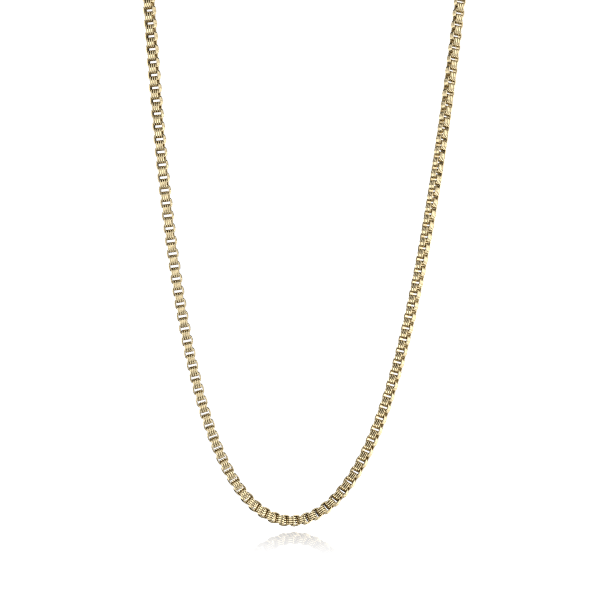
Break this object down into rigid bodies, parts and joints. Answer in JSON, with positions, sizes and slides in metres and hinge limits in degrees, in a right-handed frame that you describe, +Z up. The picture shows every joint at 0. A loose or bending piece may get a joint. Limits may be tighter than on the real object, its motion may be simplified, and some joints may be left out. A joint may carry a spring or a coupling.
{
  "type": "box chain necklace",
  "caption": "Gold box chain necklace hanging in a free curve, closed at the nape by a claw clasp; its front is an open U.",
  "frame": {"origin": "middle of the neck hollow, level with the stretch that goes round the neck", "axes": "+Z up along the neck, -Y to the front, where the chain hangs, +X to the right in a front view"},
  "size_m": [0.1222, 0.0653, 0.1986],
  "materials": {
    "chain_gold": "bright yellow gold, ridged links",
    "clasp_gold": "polished yellow gold"
  },
  "bodies": {
    "root": {"chain_left": "chain_gold", "chain_right": "chain_gold", "end_loop_left": "clasp_gold", "end_loop_right": "clasp_gold", "clasp": "clasp_gold", "jump_ring": "clasp_gold"}
  },
  "joints": []
}
